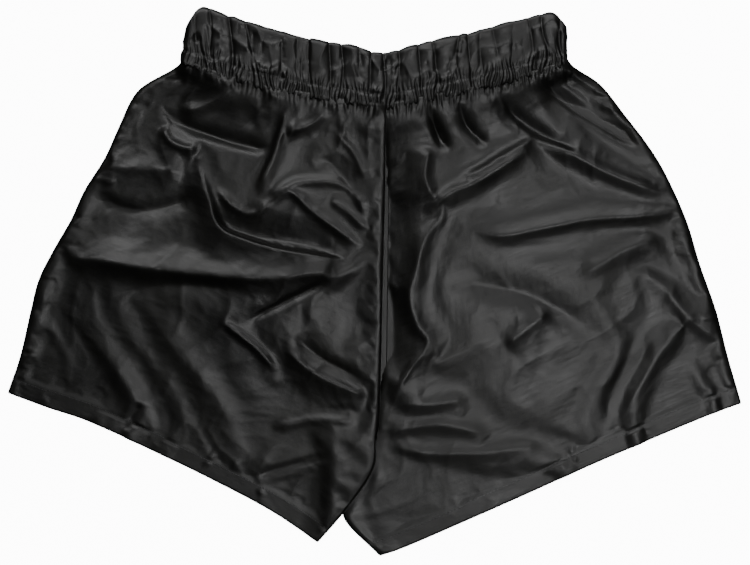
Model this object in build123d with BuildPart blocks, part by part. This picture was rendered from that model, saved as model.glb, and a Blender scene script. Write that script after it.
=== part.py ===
"""Satin boxing shorts with an elasticated waistband, lying flat with the front face up.

Every sewn piece is its own solid. The frame is millimetres with +Z up: the waist points to +Y, the hems to -Y,
and the cloth rests on z = 0. Right and left are the wearer's, so the right leg lies at -X.

The shorts fold in half about the centre seam, so each piece that crosses the seam is made as a right half and a
left half, with FOLD_GAP between them. The right half is the one that lifts.
"""

import os
from math import cos, radians, sin

from build123d import *

# Cloth and thread
FABRIC = 0.6  # satin with its turnings, as one thickness
SEAM = 0.5  # the sewn edge that joins a front panel to a back panel
FOLD_GAP = 0.4  # between the two halves
ALLOWANCE = 9.0  # seam allowance inside the shorts
RISE_MARGIN = 18.0  # from each end of the centre seam to its loose allowances
RISE_CLEAR = 0.2  # between the front and back allowances where they come closest
THREAD_WIDTH = 0.8
THREAD_HEIGHT = 0.35
LIP = 6.0  # how far in from its edge a front panel still lies on the back panel
CUT_HEIGHT = 60.0  # taller than the shorts, for cutting a plan outline out of a sheet

# Centre seam
SEAM_X = 5.0
WAIST_Y = 154.0
CROTCH_Y = -136.0

# Waistband: a flattened ring of casing round a flat elastic, open at the fold line
BAND_TILT = 12.5  # degrees that each half climbs from the centre seam to its side
BAND_HEIGHT = 49.0
BAND_WALL = 5.2  # one gathered layer of the casing, with its elastic
WAIST_GAP = 5.0  # between the front and back layers, where the wearer goes in
BAND_STACK = 2 * BAND_WALL + WAIST_GAP
BAND_CORNER = 10.0
ELASTIC = 1.6
ELASTIC_HEIGHT = 36.0
ELASTIC_PLAY = 0.1  # all round the elastic in its pocket
GATHER_ROW = 12.0  # the gathering stitches' height above the casing's lower edge

# Hems
HEM_ROW = 14.0  # from the hem's edge to its stitches

# The two sides: -1 is the wearer's right. Points are (x, y) from above, measured along each edge.
RIGHT, LEFT = -1, 1
SIDES = {RIGHT: "right", LEFT: "left"}
BAND_REACH = {RIGHT: 176.0, LEFT: 167.0}  # from the fold line to the side, along the waistband
SIDE_EDGE = {
    RIGHT: [(-203, 169), (-224, 133), (-265, 54), (-300, -25)],
    LEFT: [(199, 170), (238, 120), (276, 42), (302, -38)],
}
HEM = {  # side seam, middle, inseam
    RIGHT: [(-320, -97), (-190, -149), (-50, -227)],
    LEFT: [(320, -106), (162, -171), (5, -238)],
}
INNER_EDGE = [(-26, -199), (-5, -166)]  # the right leg's, which the left leg lies along

# Arches of a front panel from waist to hem: (side point, inner point, crown, lift of the inner end)
PAST_EDGE = 40.0  # how far the arched sheet runs past the panel that is cut from it
ARCHES = {
    RIGHT: [
        ((-160, 205), (5, 168), 9.0, 12.4),
        ((-228, 124), (5, 70), 16.0, 11.5),
        ((-274, 37), (5, -30), 17.5, 8.0),
        ((-304, -40), (3, -138), 15.0, 0.0),
        ((-314, -75), (-14, -182), 12.0, 0.0),
        ((-326, -118), (-58, -244), 8.0, 0.0),
    ],
    LEFT: [
        ((158, 205), (5, 168), 9.0, 12.4),
        ((236, 124), (5, 70), 16.0, 11.5),
        ((278, 37), (5, -30), 17.5, 8.0),
        ((303, -42), (5, -138), 15.0, 0.0),
        ((312, -78), (-14, -186), 12.0, 0.0),
        ((328, -128), (0, -262), 8.0, 0.0),
    ],
}


def band_point(side, along, up):
    """A point of the waistband from above, measured from the foot of the centre seam."""
    c, s = cos(radians(BAND_TILT)), sin(radians(BAND_TILT))
    return (SEAM_X + side * (along * c - up * s), WAIST_Y + along * s + up * c)


def band_plane(side, up):
    """The plane across the waistband at a height above its lower edge, with local Y pointing to +Z."""
    along = Vector(side * cos(radians(BAND_TILT)), sin(radians(BAND_TILT)), 0)
    return Plane(origin=band_point(side, 0, up), x_dir=along, z_dir=along.cross(Vector(0, 0, 1)))


def hem_points(side, rise=0.0):
    """Side end, middle and inner end of the hem's edge, moved up the leg by a distance."""
    outer, middle, inner = (Vector(*point) for point in HEM[side])
    along = (inner - outer) * -side
    up = Vector(-along.Y, along.X).normalized() * rise
    return outer + up, middle + up, inner + up


def arch_profile(side, station, lift):
    """The heights of an arch over its chord, between its lips."""
    outer, inner, crown, inner_lift = ARCHES[side][station]
    span = (Vector(*inner) - Vector(*outer)).length
    low = FABRIC + lift
    return [
        (LIP, low),
        (0.15 * span, low + 0.6 * crown),
        (0.42 * span, low + crown),
        (0.78 * span, low + 0.52 * crown + 0.48 * inner_lift),
        (span - LIP, low + inner_lift),
    ]


def arch_plane(side, station):
    """The upright plane through both ends of an arch, with local X towards the inner end."""
    outer, inner = ARCHES[side][station][:2]
    chord = Vector(*inner) - Vector(*outer)
    return Plane(origin=outer, x_dir=chord, z_dir=chord.cross(Vector(0, 0, 1)))


def arched_sheet(side, low, high):
    """The layer between two lifts over a front panel's underside, wider than the panel all round."""
    with BuildPart() as sheet:
        for station in range(len(ARCHES[side])):
            with BuildSketch(arch_plane(side, station)):
                with BuildLine():
                    ends = []
                    for lift in (low, high):
                        arch = Spline(*arch_profile(side, station, lift), tangents=[(1, 0), (1, 0)])
                        side_lip = Line((-PAST_EDGE, (arch @ 0).Y), arch @ 0)
                        inner_lip = Line(arch @ 1, arch @ 1 + (PAST_EDGE, 0))
                        ends.append((side_lip @ 0, inner_lip @ 1))
                    Line(ends[0][0], ends[1][0])
                    Line(ends[0][1], ends[1][1])
                make_face()
        loft()
    return sheet.part


def edge_strip(points, shift):
    """A thin strip along a curve, on the side that the shift points to."""
    moved = [Vector(*point) + Vector(*shift) for point in points]
    with BuildSketch() as strip:
        with BuildLine():
            Spline(*points)
            Spline(*moved)
            Line(points[0], moved[0])
            Line(points[-1], moved[-1])
        make_face()
    return strip.sketch


def band_outline(side, low, high, corner):
    """One half of the waistband from above, between two heights, with its outer top corner rounded."""
    fold_x = SEAM_X + side * FOLD_GAP / 2
    rise = 1 / cos(radians(BAND_TILT))
    reach = BAND_REACH[side]
    with BuildSketch() as outline:
        with BuildLine():
            Polyline(
                (fold_x, WAIST_Y + low * rise),
                band_point(side, reach, low),
                band_point(side, reach, high),
                (fold_x, WAIST_Y + high * rise),
                close=True,
            )
        make_face()
        outer_top = outline.vertices().sort_by_distance(band_point(side, reach, high))[0]
        fillet(outer_top, corner)
    return outline.sketch


def finish(part, label):
    """Label a piece and write it out."""
    part.label = label
    export_step(part, f"parts/{label}.step")


os.makedirs("parts", exist_ok=True)

for side, name in SIDES.items():
    # Plan outline of one leg. Its inner edge leaves room for the seams of both legs.
    shift = side * (SEAM + FOLD_GAP / 2)
    crotch = (SEAM_X + shift, CROTCH_Y)
    waist_inner = (SEAM_X + shift, WAIST_Y)
    waist_outer = band_point(side, BAND_REACH[side] - BAND_STACK / 2, -SEAM)
    inner_points = [(x + shift, y) for x, y in INNER_EDGE] + [crotch]
    side_points = [waist_outer, *SIDE_EDGE[side], HEM[side][0]]
    if side == RIGHT:
        inner_points.insert(0, HEM[side][2])
    with BuildSketch() as leg:
        with BuildLine():
            Line(waist_inner, waist_outer)
            Spline(*side_points)
            ThreePointArc(*HEM[side])
            if side == LEFT:
                Line(HEM[side][2], inner_points[0])
            Spline(*inner_points)
            Line(crotch, waist_inner)
        make_face()

    # Back panel
    with BuildPart() as back_panel:
        extrude(leg.sketch, amount=FABRIC)
    finish(back_panel.part, f"back_{name}_panel")

    # Front panel, arched over the back panel and lying on it along the side and the inseam
    cloth = arched_sheet(side, 0, FABRIC)
    with BuildSketch(Plane.XY.offset(FABRIC)) as leg_above_back:
        add(leg.sketch)
    with BuildPart() as front_panel:
        add(cloth)
        extrude(leg_above_back.sketch, amount=CUT_HEIGHT, mode=Mode.INTERSECT)
    finish(front_panel.part, f"front_{name}_panel")

    # Side seam and inseam, each a sewn edge as deep as both panels
    with BuildPart() as side_seam:
        extrude(edge_strip(side_points, (0.9 * side * SEAM, 0.4 * SEAM)), amount=2 * FABRIC)
    finish(side_seam.part, f"{name}_side_seam")
    with BuildPart() as inseam:
        extrude(edge_strip(inner_points, (-0.9 * side * SEAM, 0.4 * side * SEAM)), amount=2 * FABRIC)
    finish(inseam.part, f"{name}_inseam")

    # Hem stitching, a row of thread on the front of the leg
    row_start, row_middle, row_end = hem_points(side, HEM_ROW)
    along = (row_end - row_start).normalized() * LIP
    thread_layer = arched_sheet(side, FABRIC, FABRIC + THREAD_HEIGHT)
    with BuildPart() as hem_thread:
        add(thread_layer)
        with BuildSketch():
            with BuildLine():
                ThreePointArc(row_start + along, row_middle, row_end - along)
            trace(line_width=THREAD_WIDTH)
        extrude(amount=CUT_HEIGHT, mode=Mode.INTERSECT)
    finish(hem_thread.part, f"{name}_hem_stitching")

    # Waistband casing, with a pocket for the elastic inside its wall
    up = -side  # the band plane's own direction towards the top of the waistband
    reach = BAND_REACH[side]
    pocket_low = (BAND_HEIGHT - ELASTIC_HEIGHT) / 2 - ELASTIC_PLAY
    pocket_wall = ELASTIC + 2 * ELASTIC_PLAY
    pocket_inset = (BAND_WALL - pocket_wall) / 2
    with BuildPart() as casing:
        with BuildSketch(band_plane(side, 0)):
            with Locations((0, BAND_STACK / 2)):
                SlotOverall(2 * reach, BAND_STACK)
                SlotOverall(2 * (reach - BAND_WALL), WAIST_GAP, mode=Mode.SUBTRACT)
        extrude(amount=up * BAND_HEIGHT)
        with BuildSketch(band_plane(side, pocket_low)):
            with Locations((0, BAND_STACK / 2)):
                SlotOverall(2 * (reach - pocket_inset), BAND_STACK - 2 * pocket_inset)
                inner = pocket_inset + pocket_wall
                SlotOverall(2 * (reach - inner), BAND_STACK - 2 * inner, mode=Mode.SUBTRACT)
        extrude(amount=up * (ELASTIC_HEIGHT + 2 * ELASTIC_PLAY), mode=Mode.SUBTRACT)
        extrude(band_outline(side, 0, BAND_HEIGHT, BAND_CORNER), amount=CUT_HEIGHT, mode=Mode.INTERSECT)
    finish(casing.part, f"waistband_casing_{name}")

    # Waist elastic
    elastic_low = pocket_low + ELASTIC_PLAY
    elastic_inset = pocket_inset + ELASTIC_PLAY
    with BuildPart() as elastic:
        with BuildSketch(band_plane(side, elastic_low)):
            with Locations((0, BAND_STACK / 2)):
                SlotOverall(2 * (reach - elastic_inset), BAND_STACK - 2 * elastic_inset)
                inner = elastic_inset + ELASTIC
                SlotOverall(2 * (reach - inner), BAND_STACK - 2 * inner, mode=Mode.SUBTRACT)
        extrude(amount=up * ELASTIC_HEIGHT)
        cut = band_outline(side, elastic_low - 1, elastic_low + ELASTIC_HEIGHT + 1, 1)
        extrude(cut, amount=CUT_HEIGHT, mode=Mode.INTERSECT)
    finish(elastic.part, f"waist_elastic_{name}")

    # Gathering stitches that hold the elastic down, across the front of the casing
    with BuildPart() as gathering:
        with BuildSketch(Plane.XY.offset(BAND_STACK)):
            with BuildLine():
                row_fold = (SEAM_X + side * FOLD_GAP, WAIST_Y + GATHER_ROW / cos(radians(BAND_TILT)))
                Line(row_fold, band_point(side, reach - BAND_STACK / 2, GATHER_ROW))
            trace(line_width=THREAD_WIDTH)
        extrude(amount=THREAD_HEIGHT)
    finish(gathering.part, f"waist_stitching_{name}")

# Front and back rise seams: their allowances are pressed over to the left half, inside the shorts
allowance_x = SEAM_X + FOLD_GAP / 2 + ALLOWANCE / 2
rise_length = WAIST_Y - CROTCH_Y - 2 * RISE_MARGIN
rise_y = (WAIST_Y + CROTCH_Y) / 2
under_layer = arched_sheet(LEFT, -FABRIC, 0)
with BuildPart() as front_rise_seam:
    add(under_layer)
    with BuildSketch(Plane.XY.offset(2 * FABRIC + RISE_CLEAR)):
        with Locations((allowance_x, rise_y)):
            Rectangle(ALLOWANCE, rise_length)
    extrude(amount=CUT_HEIGHT, mode=Mode.INTERSECT)
finish(front_rise_seam.part, "front_rise_seam")

with BuildPart() as back_rise_seam:
    with BuildSketch(Plane.XY.offset(FABRIC)):
        with Locations((allowance_x, rise_y)):
            Rectangle(ALLOWANCE, rise_length)
    extrude(amount=FABRIC)
finish(back_rise_seam.part, "back_rise_seam")
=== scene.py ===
# Black satin boxing shorts, lying flat with the front up and seen from straight above.
# Positions are in millimetres: +X to the wearer's left, +Y to the waistband, +Z up.
# "right" is the wearer's right leg, at -X, which lies over the left leg's inner corner.

import math

import bmesh
import bpy
import numpy as np
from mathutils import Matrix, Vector
from mathutils.bvhtree import BVHTree


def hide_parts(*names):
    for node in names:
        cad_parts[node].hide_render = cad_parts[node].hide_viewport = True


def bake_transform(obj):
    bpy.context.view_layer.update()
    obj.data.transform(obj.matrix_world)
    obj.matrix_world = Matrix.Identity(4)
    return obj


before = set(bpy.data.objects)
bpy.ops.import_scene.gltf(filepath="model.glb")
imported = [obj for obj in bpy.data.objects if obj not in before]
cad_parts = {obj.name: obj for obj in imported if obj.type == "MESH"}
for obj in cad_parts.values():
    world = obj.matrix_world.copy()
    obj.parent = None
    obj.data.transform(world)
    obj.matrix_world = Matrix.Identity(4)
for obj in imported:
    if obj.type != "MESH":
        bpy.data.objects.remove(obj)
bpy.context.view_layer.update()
MM = 0.001
rng = np.random.default_rng(52)

# ---------------------------------------------------------------- sizes
FOLD_X = 5.0  # the centre seam, which the centre_fold joint turns about
CROTCH_V = 0.72  # the part of a leg's inner edge that is centre seam
OVERLAP_LIFT = 3.0  # one leg over the other, below the crotch
CLOTH = 0.4  # the satin's thickness
CELL = 3.46  # the simulated cloth's mesh size
FINE_CELL = CELL / 2  # the finished cloth's
CREPE = {"right": 0.55, "left": 0.3}  # how crumpled each leg's front is
HEM_ROW = 14.0  # from the hem's edge up to its stitches
HEM_ROWS = int(round(HEM_ROW / FINE_CELL)) + 1  # rows of mesh in the turned part of the hem
PANEL_LENGTH = 390.0  # along the cloth from the waist to the hem
SEAM_RADIUS = 0.75  # a side seam's or inseam's sewn edge
ALLOWANCE_COLUMNS = 6  # how many columns of mesh a rise seam's allowance covers
ALLOWANCE_CELL = (1.7, 1.2)  # and one mesh cell's size on the flat cloth
SEAM_OVERLAP = 1.8  # how far the right panel's edge rolls over the centre seam
SEAM_DIP = 2.0  # how far the left panel's edge dips to it
GATHER_HEIGHT = 2.2  # the front cloth's gathers at the waistband
HEM_STEP = 0.4  # how much thicker the hem looks
HEM_PULL = 2.0  # how deep the hem's stitches pull the cloth in

BAND_HALF = 172.0  # half the waistband's width
BAND_FRONT = 14.2  # the height of the waistband's front face
BAND_BACK = 0.9  # and of its back face
BAND_RADIUS = (BAND_FRONT - BAND_BACK) / 2  # of the roll at each of its ends
BAND_HEIGHT = 49.0
BAND_WALL = 4.6  # one gathered layer of the casing, with the elastic inside it
BAND_STEPS = 960  # mesh steps round the casing
BACK_RISE = 0.6  # the back cloth's waist edge, raised to the band
RUFFLE = 12.0  # from the band's lower edge up to its gathering stitches
RUFFLE_HEIGHT = 2.8  # the gathers below those stitches
FRILL = 2.6  # how far the gathers fray the band's lower edge
ELASTIC_LOW = 12.5  # the elastic's lower edge, from the band's
ELASTIC_DEPTH = (2.3, 3.5)  # its outer and inner faces, in from the casing's
RIB_HEIGHT = 0.12  # the elastic's ribs
RIB_PITCH = 2.4

# Cloth simulation
SETTLE_FRAMES = 20
SETTLE_SCALE = 10.0  # the solver works best on cloth some metres wide
SPARE_CLOTH = (-0.004, -0.020)  # the cloth's least and most growth as it settles, which becomes wrinkles
WEIGHT = 0.05
STIFFNESS = 0.5

WHITE_OUT = 12.0  # how bright the surface and the backdrop look to the camera
DIM = 0.015  # how bright the backdrop is to everything else
FLOOR_REACH = 3000.0

# ---------------------------------------------------------------- outlines
WAIST = [(-165, 196), (-109, 178), (-65, 168), (-26, 161), (8, 157), (49, 164), (110, 178), (166, 196)]
SIDE = {
    "right": [
        (-165, 196), (-173, 187), (-200, 172), (-212, 159), (-224, 133), (-236, 107), (-253, 80), (-265, 54),
        (-280, 28), (-293, 2), (-300, -25), (-309, -64), (-320, -97),
    ],
    "left": [
        (166, 196), (174, 187), (197, 172), (218, 146), (238, 120), (254, 94), (272, 54), (284, 15),
        (298, -25), (308, -64), (320, -106),
    ],
}
HEM = {
    "right": [(-320, -97), (-285, -110), (-250, -122), (-197, -146), (-145, -171), (-92, -199), (-50, -227)],
    "left": [
        (320, -106), (293, -116), (240, -138), (188, -160), (135, -184), (83, -207), (30, -230), (5, -239),
    ],
}
CENTRE = [(8, 157), (7, 72), (5, -16), (3, -103), (1, -138)]
INSEAM = {
    "right": [(1, -138), (-2, -164), (-26, -199), (-50, -227)],
    "left": [(1, -138), (-14, -175), (-27, -204), (5, -239)],
}

# ---------------------------------------------------------------- folds
# (height, width on the left of the line, width on the right of it, points), all in millimetres.
# Left and right are seen along the line, from its first point. A negative height is a valley.
FOLDS = {
    "right": [
        (5.0, 4, 15, [
            (-156, 112), (-149, 89), (-142, 68), (-135, 50), (-124, 41), (-100, 34), (-72, 30), (-44, 24),
            (-20, 16),
        ]),
        (2.2, 5, 3, [(-94, 65), (-74, 78), (-55, 62), (-30, 43), (-8, 29)]),
        (2.2, 5, 4, [(-92, 76), (-64, 86), (-32, 86), (-16, 75), (-6, 52)]),
        (2.5, 3, 4, [(-139, 84), (-124, 67), (-109, 59), (-98, 63), (-91, 74)]),
        (4.0, 9, 3, [(-103, 79), (-88, 109), (-82, 130), (-74, 154)][::-1]),
        (-4.0, 8, 4, [(-189, 160), (-175, 141), (-137, 126), (-103, 117), (-86, 117)]),
        (3.0, 6, 6, [(-171, 154), (-158, 150), (-137, 158), (-119, 171)]),
        (3.0, 4, 4, [(-185, 137), (-179, 124), (-167, 117), (-152, 114)]),
        (3.0, 6, 5, [(-78, 128), (-52, 139), (-42, 152)]),
        (2.2, 14, 10, [(-246, 98), (-200, 99), (-160, 94)]),
        (-3.5, 8, 8, [(-252, 75), (-213, 63), (-179, 67), (-152, 78)]),
        (4.5, 16, 8, [
            (-276, 24), (-243, 19), (-183, 10), (-100, 3), (-52, 7), (-36, 4), (-16, 12), (-1, 30),
        ]),
        (-3.0, 3, 4, [(-112, -35), (-75, -16), (-37, 2)]),
        (2.5, 3, 3, [(-135, -33), (-103, -58), (-84, -80)]),
        (3.5, 4, 8, [(-82, -55), (-52, -79), (-21, -94), (-3, -100)]),
        (-2.5, 5, 5, [(-72, -47), (-44, -68), (-12, -84)]),
        (1.0, 11, 9, [(-268, -30), (-232, -68), (-209, -104), (-196, -128)]),
        (0.8, 9, 8, [(-200, -20), (-172, -62), (-140, -96), (-118, -140)]),
        (-2.2, 4, 4, [(-106, -170), (-72, -160), (-40, -152)]),
        (1.6, 5, 4, [(-36, 132), (-18, 112), (-8, 88)]),
        (-1.6, 5, 4, [(-48, 112), (-28, 92), (-10, 66)]),
        (1.6, 4, 4, [(-40, 72), (-22, 60), (-6, 44)]),
        (2.2, 5, 5, [(-92, -128), (-52, -120), (-14, -122)]),
        (-2.4, 9, 9, [(-230, -10), (-170, -2), (-110, -8)]),
    ],
    "left": [
        (-4.5, 9, 5, [(106, 165), (123, 144), (145, 129), (178, 115)]),
        (-4.0, 9, 6, [(136, 175), (166, 156), (197, 139), (238, 115)]),
        (4.0, 9, 9, [(142, 129), (176, 109), (208, 93), (255, 76)]),
        (3.0, 8, 4, [(142, 126), (111, 109), (85, 94), (75, 99)]),
        (3.5, 9, 5, [(138, 118), (91, 88), (66, 78), (42, 59)]),
        (3.6, 6, 10, [(272, 64), (230, 57), (187, 54), (145, 46), (108, 40), (78, 48)]),
        (-3.5, 5, 5, [(46, 158), (49, 141), (66, 112)]),
        (-3.5, 5, 5, [(72, 160), (81, 135), (100, 118)]),
        (2.8, 9, 7, [
            (66, 68), (45, 40), (35, 8), (30, -12), (36, -35), (46, -53), (30, -77), (19, -98), (8, -132),
        ]),
        (3.0, 6, 8, [(48, 120), (44, 92), (52, 70)]),
        (1.6, 6, 6, [(5, -136), (28, -128), (60, -125), (104, -134)]),
        (1.8, 6, 7, [(8, -139), (38, -149), (81, -150), (132, -144), (156, -139)]),
        (1.5, 6, 6, [(17, -108), (49, -107), (83, -101)]),
        (1.7, 9, 13, [(295, -8), (259, -49), (236, -83), (210, -128)]),
        (-1.8, 9, 8, [(243, -50), (222, -84), (199, -119)]),
        (2.4, 9, 9, [(176, 3), (221, 29), (254, 39)]),
        (2.2, 7, 9, [(113, -57), (153, -24)]),
        (-2.0, 12, 12, [(70, 0), (130, -10), (190, -40)]),
        (1.0, 6, 6, [(250, 0), (272, -30), (300, -52)]),
    ],
}

# Folds and pockets with straight sides, made after the cloth has settled
STRAIGHT_SIDED = {
    "right": [
        (-10.0, 30, 3, [(-141, 72), (-136, 56), (-128, 47), (-111, 40), (-86, 32), (-51, 26), (-22, 20)]),
        (2.7, 24, 34, [(-276, 24), (-243, 19), (-183, 10), (-100, 3), (-52, 7), (-16, 12)]),
    ],
    "left": [(-9.5, 32, 1.5, [(9.5, 154), (8.5, 72), (6.5, -16), (5, -80), (4, -118)])],
}

# Creases that the right hem's stitches pull
STRONG_PUCKERS = [
    (-2.0, 3, 5, [(-284, -104), (-279, -94), (-271, -84)]),
    (-2.0, 3, 5, [(-254, -116), (-247, -104), (-238, -92)]),
    (-2.4, 3, 6, [(-219, -130), (-213, -119), (-205, -104)]),
]


# ---------------------------------------------------------------- plan geometry
def running_length(points):
    """How far along a line each of its points is."""
    return np.concatenate([[0], np.cumsum(np.linalg.norm(np.diff(points, axis=0), axis=1))])


def through(points, count):
    """Evenly spaced points on a smooth curve through the given ones."""
    p = np.array(points, float)
    ends = np.vstack([2 * p[0] - p[1], p, 2 * p[-1] - p[-2]])
    t = np.linspace(0, 1, 16, endpoint=False)[:, None]
    spans = [
        0.5 * (2 * b + (c - a) * t + (2 * a - 5 * b + 4 * c - d) * t**2 + (3 * b - a - 3 * c + d) * t**3)
        for a, b, c, d in zip(ends, ends[1:], ends[2:], ends[3:])
    ]
    dense = np.vstack(spans + [p[-1:]])
    s = running_length(dense)
    at = np.linspace(0, s[-1], count)
    return np.column_stack([np.interp(at, s, dense[:, k]) for k in range(p.shape[1])])


def length(points):
    """The length of the smooth curve through some points."""
    return running_length(through(points, 200))[-1]


def smooth(low, high, x):
    """0 at low, 1 at high, and a smooth step between. low may be the larger one."""
    t = np.clip((x - low) / (high - low), 0, 1)
    return t * t * (3 - 2 * t)


def bell(q):
    """1 in the middle, and nearly 0 past two widths."""
    return np.exp(-(q**2))


def rolled(q):
    """A soft roll's profile at q widths from its middle."""
    return np.exp(-(q**1.6))


def creased(q):
    """A sharp crease's profile."""
    return np.exp(-q)


def straight_sided(q):
    """The profile of a fold or a pocket with straight sides."""
    return np.clip(1 - q, 0, 1) ** 1.4


def fold_field(xy, folds, profile=rolled):
    """The height that a list of folds adds at each point."""
    total = np.zeros(len(xy))
    for height, left, right, points in folds:
        line = through(points, 6 * len(points))
        start, run = line[:-1], np.diff(line, axis=0)
        span = np.linalg.norm(run, axis=1)
        reach = 3.2 * max(left, right)
        low, high = line.min(axis=0) - reach, line.max(axis=0) + reach
        near = np.where(((xy > low) & (xy < high)).all(axis=1))[0]
        if not len(near):
            continue
        offset = xy[near, None, :] - start[None]
        t = np.clip((offset * run).sum(axis=2) / span**2, 0, 1)
        gap = offset - t[..., None] * run
        distance = np.linalg.norm(gap, axis=2)
        nearest = distance.argmin(axis=1)
        rows = np.arange(len(near))
        side = run[nearest, 0] * offset[rows, nearest, 1] - run[nearest, 1] * offset[rows, nearest, 0]
        width = np.where(side > 0, left, right)
        along = (nearest + t[rows, nearest]) / len(run)
        taper = smooth(0, 0.22, along) * smooth(0, 0.22, 1 - along)
        q = distance[rows, nearest] / width
        total[near] += height * taper * profile(q)
    return total


def waves(x, y, cell, seed):
    """Smooth pseudo-random waves between about -1 and 1, a few directions added up."""
    pick = np.random.default_rng(seed)
    total = np.zeros_like(x)
    for _ in range(7):
        angle, phase, scale = pick.uniform(0, math.pi), pick.uniform(0, 2 * math.pi), pick.uniform(0.7, 1.6)
        total += np.sin((x * math.cos(angle) + y * math.sin(angle)) * 2 * math.pi / (cell * scale) + phase)
    return total / 3.5


def facets(x, y, cell, seed):
    """Soft facets that meet in creases."""
    return (1 - np.abs(waves(x, y, cell, seed))) ** 2


def crumple(x, y):
    """What satin keeps when it has been folded and carried."""
    bent = x + 14 * waves(x, y, 90, 71)
    return 1.3 * facets(bent, y, 62, 72) + 0.4 * facets(bent, y, 27, 73)


class Leg:
    """One leg's grid from above: u runs from the side seam to the inner edge, v from the waist to the hem."""

    def __init__(self, side):
        self.side = side
        seam = WAIST.index(CENTRE[0])
        half = WAIST[: seam + 1] if side == "right" else WAIST[seam:][::-1]
        inner_line = CENTRE + INSEAM[side][1:]
        columns = int(length(HEM[side]) / CELL) + 1
        rows = int(length(inner_line) / CELL) + 1
        top, hem = through(half, columns), through(HEM[side], columns)
        outer, inner = through(SIDE[side], rows), self.inner_points(rows)
        u = np.linspace(0, 1, columns)[None, :, None]
        v = np.linspace(0, 1, rows)[:, None, None]
        corners = (1 - u) * (1 - v) * top[0] + u * (1 - v) * top[-1] + (1 - u) * v * hem[0] + u * v * hem[-1]
        grid = (1 - v) * top[None] + v * hem[None] + (1 - u) * outer[:, None] + u * inner[:, None] - corners
        self.u = np.broadcast_to(u[..., 0], grid.shape[:2]).copy()
        self.v = np.broadcast_to(v[..., 0], grid.shape[:2]).copy()
        self.xy = grid

    def inner_points(self, count):
        """The centre seam and the inseam: rows are shared with the other leg down to the crotch."""
        self.seam_rows = int(round((count - 1) * CROTCH_V))
        seam = through(CENTRE, self.seam_rows + 1)
        inseam = through(INSEAM[self.side], count - self.seam_rows)
        return np.vstack([seam, inseam[1:]])


# ---------------------------------------------------------------- meshes
def add_piece(name, points, faces):
    """A smooth mesh object from points in millimetres."""
    mesh = bpy.data.meshes.new(name)
    mesh.from_pydata((np.reshape(points, (-1, 3)) * MM).tolist(), [], faces)
    mesh.polygons.foreach_set("use_smooth", [True] * len(mesh.polygons))
    mesh.update()
    piece = bpy.data.objects.new(name, mesh)
    bpy.context.scene.collection.objects.link(piece)
    return piece


def grid_quads(ids):
    """The quads between a grid's points, from the points' numbers."""
    return np.stack([ids[:-1, :-1], ids[:-1, 1:], ids[1:, 1:], ids[1:, :-1]], axis=-1).reshape(-1, 4)


def lay_weave(mesh, cut):
    """Give each point of a mesh its place on the flat cloth."""
    layer = mesh.uv_layers.new(name="weave")
    index = np.empty(len(mesh.loops), int)
    mesh.loops.foreach_get("vertex_index", index)
    layer.data.foreach_set("uv", (cut.reshape(-1, 2)[index] * MM).ravel())


# ---------------------------------------------------------------- front cloth, settled
def ring_height(x):
    """The height of the middle of the waistband's front wall, which rolls down to the side folds."""
    past = np.clip((np.abs(x) - (BAND_HALF - BAND_RADIUS)) / BAND_RADIUS, 0, 0.98)
    return BAND_BACK + BAND_RADIUS + (BAND_RADIUS - BAND_WALL / 2) * np.sqrt(1 - past**2)


def front_height(leg):
    """The front cloth's height before it settles: a broad arch, with the folds on it."""
    u, v = leg.u, leg.v
    inner = np.interp(v, [0, 0.3, 0.6, CROTCH_V, 1], [12.5, 9.0, 6.5, 3.2, 1.8])
    outer = np.interp(v, [0, 0.06, 0.15, 1], [7.0, 4.0, 1.6, 1.4])
    crown = np.interp(v, [0, 0.2, 0.55, 0.9, 1], [4.0, 5.5, 6.5, 4.0, 3.0])
    arch = np.sin(math.pi * u**0.85) ** 0.7
    z = outer + (inner - outer) * u**0.8 + crown * arch
    xy = leg.xy.reshape(-1, 2)
    folds = fold_field(xy, FOLDS[leg.side] + GATHERS[leg.side]).reshape(u.shape)
    edge = smooth(0, 0.05, u) * smooth(0, 0.05, 1 - u) * smooth(0, 0.02, v)
    z = np.maximum(z + 0.8 * folds * edge, 1.2)
    z += (ring_height(leg.xy[..., 0]) - z) * (1 - smooth(0, 0.08, v)) ** 2
    if leg.side == "right":
        z += over_left_leg(leg.xy)
    return z


def over_left_leg(xy):
    """How far the right leg's inner corner is lifted by the left leg's corner, which it lies on."""
    return OVERLAP_LIFT * smooth(-64, -34, xy[..., 0]) * smooth(-108, -140, xy[..., 1])


def gather_folds(side):
    """Short folds that fan out from under the waistband, with a few long ones."""
    sign = -1 if side == "right" else 1
    waist = through(WAIST, 400)
    folds = []
    for distance in np.arange(6, 160, 8.5):
        x = FOLD_X + sign * (distance + rng.uniform(-1.8, 1.8))
        y = np.interp(x, waist[:, 0], waist[:, 1]) + 2
        reach = rng.choice([16, 24, 34, 52], p=[0.4, 0.3, 0.2, 0.1])
        lean = sign * (0.05 + 0.0035 * distance) + rng.uniform(-0.25, 0.25)
        bend = rng.uniform(-0.2, 0.2)
        points = [(x, y), (x + lean * reach * 0.5, y - reach * 0.5), (x + (lean + bend) * reach, y - reach)]
        top = (x, y + reach * 0.25)
        width = rng.uniform(2.4, 5.0)
        folds.append((rng.choice([-1, 1]) * rng.uniform(1.4, 3.0), width, width * 0.6, [top] + points))
    return folds


GATHERS = {side: gather_folds(side) for side in ("right", "left")}


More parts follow.
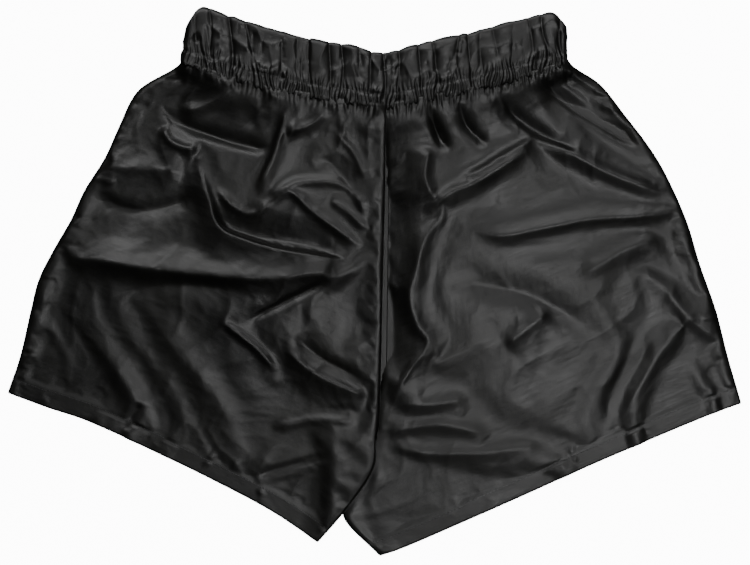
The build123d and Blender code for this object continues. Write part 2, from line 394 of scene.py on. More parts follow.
def settle(points, pinned, spare, quads, frames):
    """Let the cloth settle under its own weight, and return where its points come to rest."""
    cloth = add_piece("settling", points * SETTLE_SCALE, quads.tolist())
    group = cloth.vertex_groups.new(name="pin")
    for index in np.where(pinned > 0)[0]:
        group.add([int(index)], float(pinned[index]), "REPLACE")
    group = cloth.vertex_groups.new(name="spare")
    for index, value in enumerate(spare):
        group.add([index], float(value), "REPLACE")
    bpy.ops.mesh.primitive_plane_add(size=20, location=(0, 0, 0.8 * MM * SETTLE_SCALE))
    floor = bpy.context.object
    floor.modifiers.new("Collision", "COLLISION")
    floor.collision.thickness_outer = 0.002
    modifier = cloth.modifiers.new("Cloth", "CLOTH")
    s = modifier.settings
    s.quality = 6
    s.mass = 0.12
    s.tension_stiffness = 18
    s.compression_stiffness = 18
    s.shear_stiffness = 8
    s.bending_stiffness = STIFFNESS
    s.tension_damping = s.compression_damping = s.shear_damping = 8
    s.bending_damping = 0.4
    s.air_damping = 2
    s.vertex_group_mass = "pin"
    s.pin_stiffness = 1
    s.shrink_min, s.shrink_max = SPARE_CLOTH
    s.vertex_group_shrink = "spare"
    s.effector_weights.gravity = WEIGHT
    modifier.collision_settings.distance_min = 0.003
    modifier.collision_settings.use_self_collision = False
    modifier.point_cache.frame_start = 1
    modifier.point_cache.frame_end = frames
    scene = bpy.context.scene
    for number in range(1, frames + 1):
        scene.frame_set(number)
    settled = cloth.evaluated_get(bpy.context.evaluated_depsgraph_get())
    result = np.empty(len(points) * 3)
    settled.to_mesh().vertices.foreach_get("co", result)
    settled.to_mesh_clear()
    for thing in (cloth, floor):
        bpy.data.objects.remove(thing)
    scene.frame_set(1)
    return result.reshape(-1, 3) / (MM * SETTLE_SCALE)


def spare_cloth(leg):
    """Where the cloth has slack to spare, from 0 to 1: most near the gathers, least in the left leg."""
    x, y = leg.xy[..., 0], leg.xy[..., 1]
    gathers = 1 - smooth(0.05, 0.4, leg.v)
    if leg.side == "right":
        return np.clip(0.55 + 0.45 * gathers, 0, 1)
    calm = bell(np.hypot((x - 150) / 90, (y + 40) / 75))
    return np.clip(0.45 + 0.5 * gathers - 0.5 * calm, 0, 1)


def front_grids():
    """Both legs' front cloth, settled together as one sheet sewn along the centre seam."""
    legs = {side: Leg(side) for side in ("right", "left")}
    points, quads, pins, spares, ids = [], [], [], [], {}
    count = 0
    for side, leg in legs.items():
        z = front_height(leg)
        grid = np.dstack([leg.xy, z])
        rows, columns = z.shape
        index = np.arange(rows * columns).reshape(rows, columns) + count
        pin = np.zeros((rows, columns))
        pin[0] = 1
        pin[:, 0] = 1
        pin[:, -1] = 1
        pin[-1, :3] = pin[-1, -3:] = 1
        ids[side] = index
        points.append(grid.reshape(-1, 3))
        pins.append(pin.ravel())
        spares.append(spare_cloth(leg).ravel())
        quads.append(grid_quads(index) if side == "left" else grid_quads(index)[:, ::-1])
        count += rows * columns
    points = np.vstack(points)
    points = settle(points, np.concatenate(pins), np.concatenate(spares), np.vstack(quads), SETTLE_FRAMES)
    return legs, {side: points[ids[side]] for side in legs}


# ---------------------------------------------------------------- fine cloth
def refine(grid):
    """Twice as many points each way, on a smooth surface through the grid's own."""
    for axis in (0, 1):
        g = np.moveaxis(grid, axis, 0)
        before, after = 2 * g[:1] - g[1:2], 2 * g[-1:] - g[-2:-1]
        wide = np.concatenate([before, g, after])
        middle = (9 * (wide[1:-2] + wide[2:-1]) - wide[:-3] - wide[3:]) / 16
        out = np.empty((2 * len(g) - 1,) + g.shape[1:])
        out[::2], out[1::2] = g, middle
        grid = np.moveaxis(out, 0, axis)
    return grid


def grid_lengths(grid):
    """Each point's distance from the hem along its column, and from the inner edge along its row."""
    down = np.linalg.norm(np.diff(grid[..., :2], axis=0), axis=2)
    across = np.linalg.norm(np.diff(grid[..., :2], axis=1), axis=2)
    from_hem = np.vstack([np.cumsum(down[::-1], axis=0)[::-1], np.zeros((1, grid.shape[1]))])
    from_inner = np.hstack([np.cumsum(across[:, ::-1], axis=1)[:, ::-1], np.zeros((grid.shape[0], 1))])
    return from_hem, from_inner


def pleat_line(at, seed, spacing, low=-200, high=200):
    """Irregular fine pleats along one direction, between 0 and 1."""
    pick = np.random.default_rng(seed)
    steps = pick.uniform(0.6, 1.5, int((high - low) / spacing) + 4) * spacing
    edges = low + np.concatenate([[0], np.cumsum(steps)])
    index = np.clip(np.searchsorted(edges, at) - 1, 0, len(edges) - 2)
    f = np.clip((at - edges[index]) / (edges[index + 1] - edges[index]), 0, 1)
    tall = pick.uniform(0.45, 1.0, len(edges))[index]
    return tall * np.sqrt(np.clip(4 * f * (1 - f), 0, 1))


def hem_puckers(side):
    """Short creases that cross the hem's stitches."""
    line = through(HEM[side], 200)
    run = np.gradient(line, axis=0)
    run /= np.linalg.norm(run, axis=1)[:, None]
    up = np.column_stack([-run[:, 1], run[:, 0]]) * (1 if side == "right" else -1)
    folds = []
    for at in rng.uniform(0.04, 0.96, 34):
        k = int(at * 199)
        start, reach = rng.uniform(2, 9), rng.uniform(9, 22)
        lean = rng.uniform(-0.35, 0.35)
        foot = line[k] + up[k] * start
        head = foot + (up[k] + run[k] * lean) * reach
        width = rng.uniform(1.6, 2.8)
        folds.append((rng.uniform(-0.7, 0.6), width, width, [foot, (foot + head) / 2, head]))
    return folds


def side_puckers(side):
    """Short creases across the side seam."""
    line = through(SIDE[side], 200)
    inward = 1 if side == "right" else -1
    folds = []
    for at in rng.uniform(0.05, 0.95, 22):
        x, y = line[int(at * 199)]
        reach, lean = rng.uniform(8, 24), rng.uniform(-6, 4)
        width = rng.uniform(1.8, 3.4)
        height = rng.uniform(-1.0, 1.0)
        middle, end = (x + inward * reach / 2, y + lean / 2), (x + inward * reach, y + lean)
        folds.append((height, width, width, [(x - inward * 2, y), middle, end]))
    return folds


def add_folds(grid, folds, profile=rolled, amount=1.0):
    """Raise a grid of points by some folds."""
    plan = grid[..., :2].reshape(-1, 2)
    grid[..., 2] += amount * fold_field(plan, folds, profile).reshape(grid.shape[:2])


def detail_front(leg, grid):
    """Add what is finer than the settled cloth: the seam, the gathers, the puckers and the hem."""
    from_hem, from_inner = grid_lengths(grid)
    band_edge = through(BAND_BOTTOM, 400)
    x, y, z = (grid[..., k] for k in range(3))
    below_band = np.interp(x, band_edge[:, 0], band_edge[:, 1]) - y

    # The right panel's edge rolls over the centre seam, and the left panel's dips to it
    seam = smooth(CROTCH_V, CROTCH_V - 0.03, leg.fine_v)
    if leg.side == "right":
        z += seam * (0.5 * bell(from_inner / 5) - 1.6 * bell(from_inner / 1.2))
        x += seam * SEAM_OVERLAP * bell(from_inner / 3)
    else:
        z -= seam * SEAM_DIP * bell(from_inner / 4)

    # The cloth rises into the waistband's lower edge, and is gathered there
    level = ring_height(x) + BAND_WALL / 2 + 0.5
    shoulder = smooth(BAND_HALF, BAND_HALF - 45, np.abs(x))
    meets_band = smooth(34, 0, below_band) * smooth(-7.5, -3.5, below_band) * smooth(0, 0.06, leg.fine_u)
    meets_band *= 1 - (1 - shoulder) * smooth(0, 16, below_band)
    z += (level - z) * meets_band
    gathers = fine_gathers(x, y / 2, 33) + 0.5 * waves(x, y, 15, 91)
    z += GATHER_HEIGHT * gathers * bell(np.maximum(below_band, 0) / 6.5) * meets_band

    # Folds, puckers and crumples
    add_folds(grid, hem_puckers(leg.side) + side_puckers(leg.side))
    if leg.side == "right":
        add_folds(grid, STRONG_PUCKERS)
    inside = smooth(0, 0.04, leg.fine_u) * smooth(0, 0.04, 1 - leg.fine_u)
    add_folds(grid, FOLDS[leg.side], creased, 0.42 * inside)
    add_folds(grid, STRAIGHT_SIDED[leg.side], straight_sided)
    z += 0.7 * waves(x, y, 38, 17) * bell(from_hem / 24)
    z += CREPE[leg.side] * inside * crumple(x, y)

    # The hem is a step thicker, and its stitches pull it in
    z += HEM_STEP * smooth(HEM_ROW + 0.5, HEM_ROW - 1.5, from_hem) - HEM_PULL * bell((from_hem - HEM_ROW) / 1.2)
    lowest = 1.1 + 1.2 * smooth(HEM_ROW + 8, HEM_ROW, from_hem)
    if leg.side == "right":
        lowest = lowest + over_left_leg(grid)
    grid[..., 2] = np.maximum(z, lowest)
    return grid


def back_grid(leg, front):
    """The back cloth, which lies on the surface with a little slack under the front's folds."""
    grid = front.copy()
    grid[..., :2] = leg.fine_xy
    room = np.clip(front[..., 2] - 2.5, 0, 6)
    slack = 0.5 + 0.5 * waves(grid[..., 0], grid[..., 1], 42, 7)
    grid[..., 2] = 0.35 + 0.2 * room * np.clip(slack, 0, 1)
    grid[..., 2] += BACK_RISE * (1 - smooth(0, 0.05, leg.fine_v))
    if leg.side == "right":
        grid[..., 2] += over_left_leg(grid) * 0.95
    return grid


def turn_hem(grid, step):
    """Carry the sheet round its hem's edge and back up inside the leg, as a sewn hem is turned."""
    inside = grid[-2 : -2 - HEM_ROWS : -1].copy()
    inside[..., 2] += step
    return np.vstack([grid, inside])


def sheet_piece(name, grid, cut, flip=False):
    """A sheet of cloth from a grid of points and their places on the flat cloth, with its own thickness."""
    rows, columns = grid.shape[:2]
    quads = grid_quads(np.arange(rows * columns).reshape(rows, columns))
    piece = add_piece(name, grid, (quads[:, ::-1] if flip else quads).tolist())
    lay_weave(piece.data, cut)
    solid = piece.modifiers.new("Solidify", "SOLIDIFY")
    solid.thickness = CLOTH * MM
    solid.offset = 0
    bpy.context.view_layer.update()
    thick = bpy.data.meshes.new_from_object(piece.evaluated_get(bpy.context.evaluated_depsgraph_get()))
    piece.modifiers.clear()
    piece.data = thick
    thick.polygons.foreach_set("use_smooth", [True] * len(thick.polygons))
    return piece


def tube(name, points, radius, sides=8):
    """A thin round length of sewn edge along some points, closed at both ends."""
    points = np.asarray(points, float)
    run = np.gradient(points, axis=0)
    run /= np.linalg.norm(run, axis=1)[:, None]
    across = np.cross(run, (0, 0, 1.0))
    across /= np.linalg.norm(across, axis=1)[:, None]
    up = np.cross(across, run)
    angle = np.linspace(0, 2 * math.pi, sides, endpoint=False)
    size = np.full(len(points), radius)
    size[[0, -1]] = radius * 0.5
    ring = points[:, None] + size[:, None, None] * (
        across[:, None] * np.cos(angle)[None, :, None] + up[:, None] * np.sin(angle)[None, :, None]
    )
    count = len(points)
    ids = np.arange(count * sides).reshape(count, sides)
    turned = np.roll(ids, -1, 1)
    quads = np.stack([ids[:-1], ids[1:], turned[1:], turned[:-1]], -1).reshape(-1, 4)
    return add_piece(name, ring, quads.tolist() + [ids[0].tolist(), ids[-1][::-1].tolist()])


def stitch_row(name, points, pitch=3.1, stitch=2.3, width=0.42):
    """A row of stitches: one small rounded thread for each, pulled into the cloth at both ends."""
    points = np.asarray(points, float)
    s = running_length(points)
    pick = np.random.default_rng(11)
    vertices, faces = [], []
    rings, sides = 5, 6
    t = np.linspace(0, 1, rings)
    size = width / 2 * np.sqrt(np.clip(1 - (2 * t - 1) ** 4, 0.08, 1))
    angle = np.linspace(0, 2 * math.pi, sides, endpoint=False)
    for start in np.arange(1, s[-1] - stitch - 1, pitch):
        begin = start + pick.uniform(-0.2, 0.2)
        at = begin + np.linspace(0, stitch, rings)
        centre = np.column_stack([np.interp(at, s, points[:, k]) for k in range(3)])
        centre[:, 2] += 0.28 * np.sin(math.pi * t) - 0.05
        run = centre[-1] - centre[0]
        run /= np.linalg.norm(run)
        across = np.cross(run, (0, 0, 1.0))
        across /= np.linalg.norm(across)
        up = np.cross(across, run)
        base = len(vertices)
        for k in range(rings):
            for a in angle:
                vertices.append(centre[k] + size[k] * (across * math.cos(a) + up * math.sin(a)))
        for k in range(rings - 1):
            here, beyond = base + k * sides, base + (k + 1) * sides
            for j in range(sides):
                i = (j + 1) % sides
                faces.append([here + j, beyond + j, beyond + i, here + i])
        faces.append([base + j for j in range(sides)])
        faces.append([base + (rings - 1) * sides + j for j in reversed(range(sides))])
    return add_piece(name, vertices, faces)


# ---------------------------------------------------------------- waistband
BAND_BOTTOM = [
    (-168, 191), (-158, 186), (-109, 170), (-65, 161), (-26, 155), (8, 151), (49, 158), (110, 171),
    (158, 185), (168, 188),
]
BAND_TOP = [
    (-163, 241), (-146, 238.5), (-127, 232), (-92, 221), (-57, 212), (-22, 206), (8, 200), (48, 210),
    (83, 217), (118, 226), (150, 234), (167, 235),
]
# Where each top corner starts to round, its width and its drop
CORNERS = {-1: (-146, 17, 21), 1: (150, 17, 13)}
# Creases down the front: x at the top and at the bottom, how low and how high each runs, and its depth
BAND_CREASES = [
    (-156, -154, 14, 44, 1.8), (-142, -143, 8, 48, 2.0), (-125, -123, 6, 48, 2.4), (-110, -101, 8, 47, 2.6),
    (-80, -81, 14, 40, 2.2), (-67, -68, 20, 47, 1.8), (-56, -57, 10, 44, 2.2), (-39, -38, 14, 47, 1.6),
    (-28, -29, 8, 46, 2.2), (-13, -14, 22, 47, 1.4), (-3, -4, 8, 44, 1.8), (8, 8, 2, 49, 2.8),
    (14, 13, 10, 40, 1.4), (20, 21, 12, 46, 1.8), (39, 40, 10, 47, 2.2), (49, 59, 8, 47, 2.4),
    (72, 71, 16, 47, 1.6), (81, 84, 10, 47, 2.2), (91, 92, 18, 42, 1.6), (102, 112, 24, 48, 1.8),
    (120, 119, 10, 30, 1.4), (133, 141, 8, 48, 2.4), (144, 153, 8, 48, 2.2), (160, 163, 10, 44, 1.6),
]


def band_point(s, h):
    """A point of the band from above: s runs from -1 to 1 across it, h is its height above the lower edge."""
    bottom, top = through(BAND_BOTTOM, 300), through(BAND_TOP, 300)
    at = (s + 1) / 2 * 299
    k = np.clip(at.astype(int), 0, 298)
    f = (at - k)[..., None]
    low = bottom[k] * (1 - f) + bottom[k + 1] * f
    high = top[k] * (1 - f) + top[k + 1] * f
    t = (h / BAND_HEIGHT)[..., None]
    return low * (1 - t) + high * t


LONG_CREASE = 30.0  # creases longer than this part the band into lobes, and the others are dents
SWAG = (2.2, 3, 7, [(-104, 20), (-97, 14), (-88, 15), (-80, 25)])


def band_lobes(x, h, pick):
    """Soft lobes between the long creases, which wander a little as they climb."""
    places = [np.full_like(h, -BAND_HALF)]
    for top, bottom, low, high, _ in BAND_CREASES:
        if high - low > LONG_CREASE:
            wander = pick.uniform(0.4, 1.4) * np.sin(h / pick.uniform(6, 11) + pick.uniform(0, 6))
            places.append(bottom + (top - bottom) * h / BAND_HEIGHT + wander)
    places = np.array(places + [np.full_like(h, BAND_HALF)])
    lobe = np.clip((x[None] > places).sum(axis=0) - 1, 0, len(places) - 2)
    start = np.take_along_axis(places, lobe[None], axis=0)[0]
    width = np.take_along_axis(places, lobe[None] + 1, axis=0)[0] - start
    f = np.clip((x - start) / np.maximum(width, 1), 0, 1)
    tall = pick.uniform(0.75, 1.15, len(places))[lobe] * np.clip(0.8 + 0.1 * width, 1.2, 2.8)
    lean = pick.uniform(-1.5, 1.5, len(places))[lobe]
    return tall * (4 * f * (1 - f)) ** 0.55 + lean * (f - 0.5)


def band_dents(pick):
    """The short creases, and small dents and puffs between them."""
    dents = []
    for top, bottom, low, high, depth in BAND_CREASES:
        if high - low <= LONG_CREASE:
            at = [(bottom + (top - bottom) * k / BAND_HEIGHT, k) for k in np.linspace(low - 6, high + 6, 4)]
            dents.append((-depth * 0.8, 2.4, 3.6, at))
    for _ in range(70):
        place, low, reach = pick.uniform(-168, 168), pick.uniform(6, 34), pick.uniform(9, 24)
        slant = pick.uniform(-5, 5)
        at = [(place, low), (place + slant * 0.4, low + reach / 2), (place + slant, low + reach)]
        dents.append((pick.uniform(-1.3, 0.8), pick.uniform(1.4, 3.4), pick.uniform(1.4, 3.4), at))
    return dents


def front_pleats(x, h):
    """How far the band's front face stands out."""
    pick = np.random.default_rng(9)
    lobes = band_lobes(x, h, pick)
    points = np.column_stack([x.ravel(), h.ravel()])
    creases = fold_field(points, band_dents(pick), creased) + fold_field(points, [SWAG])
    bumps = 0.5 * waves(x, h * 0.5, 26, 3) + 1.2 * (facets(x, h * 0.5, 20, 81) - 0.4)
    return lobes - 0.6 + creases.reshape(x.shape) + bumps


def loose_pleats(x, h, seed):
    """The same kind of gathers where nothing is known of them: the band's back and its inner face."""
    wander = x + 1.5 * np.sin(h / 9 + seed)
    return 1.6 * pleat_line(wander, seed, 11) - 1.0


def fine_gathers(x, h, seed):
    """Fine slanted gathers of two sizes, about zero."""
    slanted = x + 1.6 * np.sin(h / 5 + x / 7 + seed)
    return pleat_line(slanted, seed, 3.6) + 0.6 * pleat_line(slanted, seed + 1, 6.5) - 0.8


def ruffle(x, h, seed):
    """The gathers that fan out from the gathering stitches, and the dent that the stitches pull."""
    low = smooth(RUFFLE + 11, RUFFLE - 2, h)
    row = bell((h - RUFFLE) / 1.4)
    return RUFFLE_HEIGHT * fine_gathers(x, h, seed) * low * (1 - 0.4 * row) - 0.7 * row


def rounded_corners(x, h):
    """How far the band's two top corners are drawn down."""
    drop = np.zeros_like(x)
    for side, (start, width, depth) in CORNERS.items():
        drop += depth * np.clip(side * (x - start) / width, 0, 1) ** 2
    return -drop * np.clip(h / BAND_HEIGHT, 0, 1) ** 2


def band_edges(x, h):
    """How far the band's top edge is scalloped by its lobes, and its lower edge frayed out by its ruffle."""
    top = np.clip((h - 36) / 13, 0, 1) ** 2
    bottom = np.clip((9 - h) / 9, 0, 1) ** 2
    scallop = 0.55 * (front_pleats(x, np.full_like(x, BAND_HEIGHT)) - 1.2)
    frill = FRILL * fine_gathers(x, 0 * x, 31) + 0.9 * waves(x, 0 * x, 21, 61)
    return top * scallop - bottom * frill + rounded_corners(x, h)


def band_ring(count):
    """Points round the flattened ring: s across the band, height, outward s, outward z, how much is front."""
    straight = BAND_HALF - BAND_RADIUS
    middle = BAND_BACK + BAND_RADIUS
    side = 2 * straight
    roll = math.pi * BAND_RADIUS
    out = []
    for d in np.linspace(0, 2 * (side + roll), count, endpoint=False):
        if d < side:
            out.append((d - straight, BAND_FRONT, 0, 1, 1))
        elif d < side + roll:
            a = (d - side) / BAND_RADIUS
            out.append((straight + BAND_RADIUS * math.sin(a), middle + BAND_RADIUS * math.cos(a),
                        math.sin(a), math.cos(a), (1 + math.cos(a)) / 2))
        elif d < 2 * side + roll:
            out.append((straight - (d - side - roll), BAND_BACK, 0, -1, 0))
        else:
            a = (d - 2 * side - roll) / BAND_RADIUS
            out.append((-straight - BAND_RADIUS * math.sin(a), middle - BAND_RADIUS * math.cos(a),
                        -math.sin(a), -math.cos(a), (1 - math.cos(a)) / 2))
    return np.array(out)


def wall_loop(low, high, near, far, step):
    """The wall's cross-section as (height up the band, depth in from its face), with rounded edges."""
    radius = (far - near) / 2
    face = np.arange(low + radius, high - radius, step)
    turn = np.linspace(0, math.pi, 7)[1:-1]
    outer = [(h, near) for h in face]
    top = [(high - radius + radius * math.sin(a), near + radius - radius * math.cos(a)) for a in turn]
    inner = [(h, far) for h in face[::-1]]
    bottom = [(low + radius - radius * math.sin(a), near + radius + radius * math.cos(a)) for a in turn]
    return np.array(outer + top + inner + bottom)


def ring_piece(name, ring, loop, stand_out, edges):
    """A closed ring swept round the band. stand_out moves a point out from the wall, and edges up or down."""
    s, z, out_s, out_z, front = (ring[:, k][:, None] for k in range(5))
    h, depth = loop[:, 0][None], loop[:, 1][None]
    shape = (len(ring), len(loop))
    height = np.broadcast_to(h, shape)
    x = band_point(np.clip(s / BAND_HALF, -1, 1), height)[..., 0]
    move = stand_out(x, height, np.broadcast_to(depth, shape), np.broadcast_to(front, shape)) - depth
    along = (s + out_s * move) / BAND_HALF
    plan = band_point(np.clip(along, -1.02, 1.02), height)
    plan[..., 1] += edges(x, height)
    ids = np.arange(height.size).reshape(shape)
    right, down = np.roll(ids, -1, 1), np.roll(ids, -1, 0)
    quads = np.stack([ids, right, np.roll(right, -1, 0), down], -1).reshape(-1, 4)
    piece = add_piece(name, np.dstack([plan, z + out_z * move]), quads.tolist())
    girth = np.linspace(0, 4 * BAND_HALF, len(ring))[:, None] + 0 * h
    round_wall = running_length(loop)[None] + 0 * s
    lay_weave(piece.data, np.dstack([girth, round_wall]))
    bm = bmesh.new()
    bm.from_mesh(piece.data)
    bmesh.ops.recalc_face_normals(bm, faces=bm.faces)
    bm.to_mesh(piece.data)
    bm.free()
    return piece


def casing_face(x, h, depth, front):
    """The casing's gathers: the front's own, and loose ones behind and inside."""
    outer = smooth(BAND_WALL * 0.7, BAND_WALL * 0.3, depth)
    face = front * front_pleats(x, h) + (1 - front) * (0.6 * loose_pleats(x, h, 21)) + ruffle(x, h, 31)
    lining = -0.6 * loose_pleats(x, h, 41) - 0.4 * ruffle(x, h, 51)
    fade = 1 - 0.5 * smooth(BAND_HEIGHT - 5, BAND_HEIGHT, h)
    face = np.maximum(face, -1.9)
    low = np.where(front < 0.5, np.minimum(face, 0.7), face)
    return (outer * low + (1 - outer) * lining) * fade


def elastic_face(x, h, depth, front):
    """The flat elastic's ribs, which are the same on both faces."""
    return RIB_HEIGHT * np.sin(x * 2 * math.pi / RIB_PITCH) + 0 * h


# ---------------------------------------------------------------- materials
def new_material(name):
    """A material, its nodes, its links and its shader."""
    material = bpy.data.materials.new(name)
    material.use_nodes = True
    tree = material.node_tree
    return material, tree.nodes, tree.links, tree.nodes["Principled BSDF"]


def set_inputs(node, values):
    """Give some of a node's sockets their values."""
    for name, value in values.items():
        node.inputs[name].default_value = value


def add_bump(nodes, links, height, strength, distance, under=None):
    """A bump made from a height, on top of another one's normal if that is given."""
    bump = nodes.new("ShaderNodeBump")
    set_inputs(bump, {"Strength": strength, "Distance": distance})
    links.new(height, bump.inputs["Height"])
    if under:
        links.new(under, bump.inputs["Normal"])
    return bump.outputs["Normal"]


def between(nodes, links, factor, first, second):
    """A colour between two others."""
    mix = nodes.new("ShaderNodeMix")
    mix.data_type = "RGBA"
    set_inputs(mix, {"A": (*first, 1), "B": (*second, 1)})
    links.new(factor, mix.inputs["Factor"])
    return mix.outputs["Result"]


def satin(name, dark, light, gloss):
    """Polyester satin: a fine weave with thread lines, patches of gloss and colour, and a soft sheen."""
    material, nodes, links, shader = new_material(name)
    set_inputs(shader, {"Specular IOR Level": 0.5, "Sheen Weight": 0.01, "Sheen Roughness": 0.4})
    place = nodes.new("ShaderNodeUVMap")
    place.uv_map = "weave"

    def noise(stretch, scale, detail, roughness=0.5):
        mapping = nodes.new("ShaderNodeMapping")
        set_inputs(mapping, {"Scale": stretch})
        links.new(place.outputs["UV"], mapping.inputs["Vector"])
        texture = nodes.new("ShaderNodeTexNoise")
        set_inputs(texture, {"Scale": scale, "Detail": detail, "Roughness": roughness})
        links.new(mapping.outputs["Vector"], texture.inputs["Vector"])
        return texture.outputs["Fac"]

    def ranged(value, low, high):
        node = nodes.new("ShaderNodeMapRange")
        set_inputs(node, {"From Min": 0.3, "From Max": 0.7, "To Min": low, "To Max": high})
        links.new(value, node.inputs["Value"])
        return node.outputs["Result"]

    def yarns(direction, pitch):
        wave = nodes.new("ShaderNodeTexWave")
        wave.bands_direction = direction
        set_inputs(wave, {"Scale": math.pi / (20 * pitch * MM), "Distortion": 0.6, "Detail": 1})
        links.new(place.outputs["UV"], wave.inputs["Vector"])
        return wave.outputs["Fac"]

    patches = noise((1, 1, 1), 14, 3)
    threads = noise((30, 900, 1), 1, 4)
    links.new(between(nodes, links, ranged(patches, 0, 1), dark, light), shader.inputs["Base Color"])
    roughness = nodes.new("ShaderNodeMath")
    roughness.operation = "ADD"
    links.new(ranged(patches, *gloss), roughness.inputs[0])
    links.new(ranged(threads, -0.05, 0.05), roughness.inputs[1])
    links.new(roughness.outputs[0], shader.inputs["Roughness"])
    weave = nodes.new("ShaderNodeMath")
    weave.operation = "MULTIPLY_ADD"
    links.new(yarns("X", 0.42), weave.inputs[0])
    weave.inputs[1].default_value = 0.5
    links.new(yarns("Y", 0.34), weave.inputs[2])
    fine = add_bump(nodes, links, weave.outputs[0], 0.12, 0.00006)
    lines = add_bump(nodes, links, threads, 0.25, 0.00012, fine)
    mottled = add_bump(nodes, links, noise((1, 1, 1), 70, 4, 0.55), 0.5, 0.0006, lines)
    links.new(mottled, shader.inputs["Normal"])
    return material


def yarn(name, colour, pitch):
    """Twisted polyester yarn, matt beside the satin, with a painted highlight on its twist's ridges."""
    material, nodes, links, shader = new_material(name)
    set_inputs(shader, {"Roughness": 0.62, "Sheen Weight": 0.1})
    place = nodes.new("ShaderNodeTexCoord")
    twist = nodes.new("ShaderNodeTexWave")
    twist.bands_direction = "DIAGONAL"
    set_inputs(twist, {"Scale": 1 / (pitch * MM) / 6, "Distortion": 1.5})
    links.new(place.outputs["Object"], twist.inputs["Vector"])
    # Painted highlight: the twist's raised ridges get a brighter copy of the yarn's colour.
    painted_highlight = tuple(c * 1.7 for c in colour)
    links.new(between(nodes, links, twist.outputs["Fac"], colour, painted_highlight), shader.inputs["Base Color"])
    links.new(add_bump(nodes, links, twist.outputs["Fac"], 0.5, 0.0001), shader.inputs["Normal"])
    return material


black = satin("satin_black", (0.0022, 0.0022, 0.0021), (0.0044, 0.0043, 0.0032), gloss=(0.38, 0.46))
thread_black = yarn("thread_black", (0.008, 0.008, 0.008), 0.3)
elastic_black = yarn("elastic_black", (0.02, 0.02, 0.02), 1.2)


# ---------------------------------------------------------------- assembly
def bend_with_fold(piece):
    """Bake the piece's transform into its mesh."""
    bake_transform(piece)


def made(piece, material, slot, *nodes):
    """Give a piece its material, hide the CAD parts that it stands for and bake its transform. slot is not
    used.
    """
    piece.data.materials.clear()
    piece.data.materials.append(material)
    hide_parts(*nodes)
    bend_with_fold(piece)
    return piece


legs, settled = front_grids()
fronts, backs = {}, {}
for side, leg in legs.items():
    leg.fine_u, leg.fine_v = refine(leg.u[..., None])[..., 0], refine(leg.v[..., None])[..., 0]
    leg.fine_xy = refine(leg.xy)
    fronts[side] = detail_front(leg, refine(settled[side]))
    backs[side] = back_grid(leg, fronts[side])

# The left leg's inner corner is pressed flat under the right leg's.
over = through(INSEAM["right"], 200)[::-1]
x, y = fronts["left"][..., 0], fronts["left"][..., 1]
covered = smooth(9, 1, x - np.interp(y, over[:, 1], over[:, 0])) * smooth(-128, -142, y)
for layer, ceiling in ((fronts["left"], 1.5), (backs["left"], 0.45)):
    layer[..., 2] += covered * (np.minimum(layer[..., 2], ceiling) - layer[..., 2])

sewn = {side: [] for side in legs}
backed = {side: [] for side in legs}
for side, leg in legs.items():
    front_points, back_points = fronts[side], backs[side]
    edges = (front_points + back_points) / 2

    # Panels, with their hems turned up inside
    cut = np.dstack([leg.fine_u * length(HEM[side]), leg.fine_v * PANEL_LENGTH])
    turned = cut[-1:] + np.array([0, 1.0]) * (np.arange(1, HEM_ROWS + 1) * FINE_CELL)[:, None, None]
    cut = np.vstack([cut, turned])
    front = sheet_piece(f"front_{side}_cloth", turn_hem(front_points, -0.75), cut, side == "right")
    made(front, black, "satin", f"front_{side}_panel")
    back = sheet_piece(f"back_{side}_cloth", turn_hem(back_points, 0.55), cut, side == "left")
    made(back, black, "satin", f"back_{side}_panel")

    # Sewn edges
    outer = tube(f"{side}_side_seam_edge", edges[:, 0], SEAM_RADIUS)
    sewn[side].append(made(outer, black, "satin", f"{side}_side_seam"))
    inner = tube(f"{side}_inseam_edge", edges[2 * leg.seam_rows:, -1], SEAM_RADIUS)
    sewn[side].append(made(inner, black, "satin", f"{side}_inseam"))

    # Hem stitches
    from_hem, _ = grid_lengths(front_points)
    row_index = np.abs(from_hem - HEM_ROW).argmin(axis=0)
    line = front_points[row_index, np.arange(front_points.shape[1])] + (0, 0, CLOTH / 2)
    stitches = stitch_row(f"{side}_hem_stitches", line)
    sewn[side].append(made(stitches, thread_black, "thread", f"{side}_hem_stitching"))

# The rise seams' allowances lie under the left front and on the left back
seam_end = 2 * legs["left"].seam_rows - 8
for name, grids, drop, node, pieces in (
    ("front_rise_allowance", fronts, -0.8, "front_rise_seam", sewn["left"]),
    ("back_rise_allowance", backs, 0.8, "back_rise_seam", backed["left"]),
):
    strip = np.hstack([grids["left"][:seam_end, -ALLOWANCE_COLUMNS:], grids["right"][:seam_end, -2:-1]])
    strip[..., 2] += drop
    strip[:, -1, 2] = strip[:, -2, 2]
    rows, columns = strip.shape[:2]
    cut = np.dstack(np.meshgrid(np.arange(columns) * ALLOWANCE_CELL[0], np.arange(rows) * ALLOWANCE_CELL[1]))
    pieces.append(made(sheet_piece(name, strip, cut), black, "satin", node))

# The waistband
ring = band_ring(BAND_STEPS)
casing_wall = wall_loop(0, BAND_HEIGHT, 0, BAND_WALL, 1.3)
casing = ring_piece("waistband_casing", ring, casing_wall, casing_face, band_edges)
made(casing, black, "satin", "waistband_casing_right", "waistband_casing_left")
elastic_wall = wall_loop(ELASTIC_LOW, BAND_HEIGHT - 1.5, *ELASTIC_DEPTH, 4.0)
elastic = ring_piece("waist_elastic", ring[::2], elastic_wall, elastic_face, rounded_corners)
made(elastic, elastic_black, "elastic", "waist_elastic_right", "waist_elastic_left")

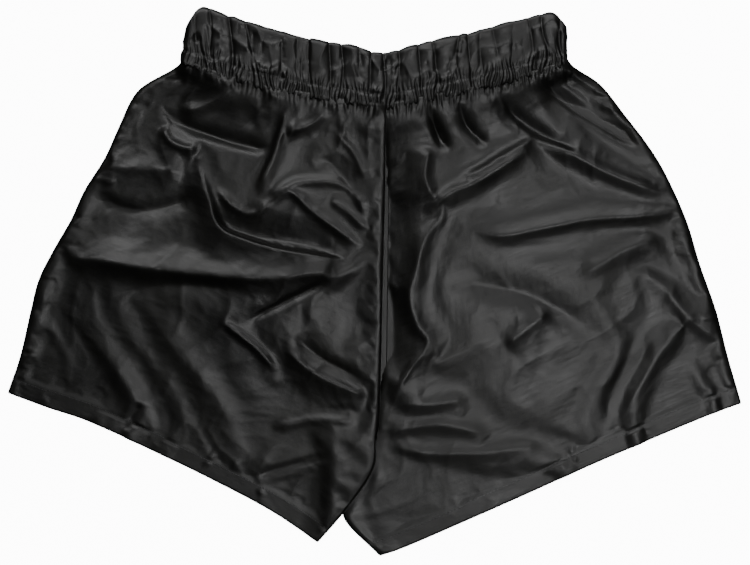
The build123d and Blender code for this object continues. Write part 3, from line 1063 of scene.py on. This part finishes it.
# The gathering stitches lie on the casing's front
bpy.context.view_layer.update()
tree = BVHTree.FromObject(casing, bpy.context.evaluated_depsgraph_get())
row = []
for s in np.linspace(-0.955, 0.955, 420):
    x, y = band_point(np.array([s]), np.array([RUFFLE]))[0]
    hit = tree.ray_cast(Vector((x * MM, y * MM, 0.1)), Vector((0, 0, -1)))[0]
    row.append((x, y, hit.z / MM))
waist_stitches = stitch_row("waist_stitches", np.array(row), pitch=2.6, stitch=1.9)
made(waist_stitches, thread_black, "thread", "waist_stitching_right", "waist_stitching_left")

# ---------------------------------------------------------------- stage, lights and camera
corners = [(-1, -1, 0), (1, -1, 0), (1, 1, 0), (-1, 1, 0)]
floor = add_piece("floor", np.array(corners) * FLOOR_REACH, [(0, 1, 2, 3)])
white, _, _, surface = new_material("floor_white")
set_inputs(surface, {
    "Base Color": (0.9, 0.9, 0.9, 1), "Emission Color": (1, 1, 1, 1), "Emission Strength": WHITE_OUT,
})
floor.data.materials.append(white)
floor.visible_glossy = False
floor.visible_diffuse = False


def softbox(name, place, aim, size, glow):
    """A rectangular area light that points at a place. glow is its brightness, whatever its size."""
    data = bpy.data.lights.new(name, "AREA")
    data.shape = "RECTANGLE"
    data.size, data.size_y = size
    data.energy = math.pi * size[0] * size[1] * glow
    lamp = bpy.data.objects.new(name, data)
    lamp.location = place
    lamp.rotation_euler = (Vector(aim) - Vector(place)).to_track_quat("-Z", "Y").to_euler()
    bpy.context.scene.collection.objects.link(lamp)


softbox("ceiling", place=(0.32, 0.12, 1.8), aim=(0.32, 0.12, 0), size=(1.1, 1.2), glow=0.6)
softbox("overhead_right", place=(0.40, -0.12, 1.75), aim=(0.40, -0.12, 0), size=(0.62, 0.5), glow=7.7)
softbox("left_window", place=(-0.62, 1.08, 1.15), aim=(0, 0, 0), size=(0.5, 0.5), glow=8.5)
softbox("front", place=(0.3, -1.3, 1.1), aim=(0, 0, 0), size=(1.0, 0.3), glow=1.0)
softbox("back", place=(0.25, 1.2, 1.2), aim=(0, 0, 0), size=(1.1, 0.4), glow=7.0)

world = bpy.data.worlds.new("studio")
world.use_nodes = True
background = world.node_tree.nodes["Background"]
set_inputs(background, {"Color": (1, 1, 1, 1)})
seen = world.node_tree.nodes.new("ShaderNodeLightPath")
strength = world.node_tree.nodes.new("ShaderNodeMapRange")
set_inputs(strength, {"To Min": DIM, "To Max": WHITE_OUT})
world.node_tree.links.new(seen.outputs["Is Camera Ray"], strength.inputs["Value"])
world.node_tree.links.new(strength.outputs["Result"], background.inputs["Strength"])
bpy.context.scene.world = world

camera_data = bpy.data.cameras.new("camera")
camera_data.sensor_width = 36
camera_data.lens = 85
camera = bpy.data.objects.new("camera", camera_data)
camera.location = (0.0004, -0.0004, 1.549)
bpy.context.scene.collection.objects.link(camera)
bpy.context.scene.camera = camera
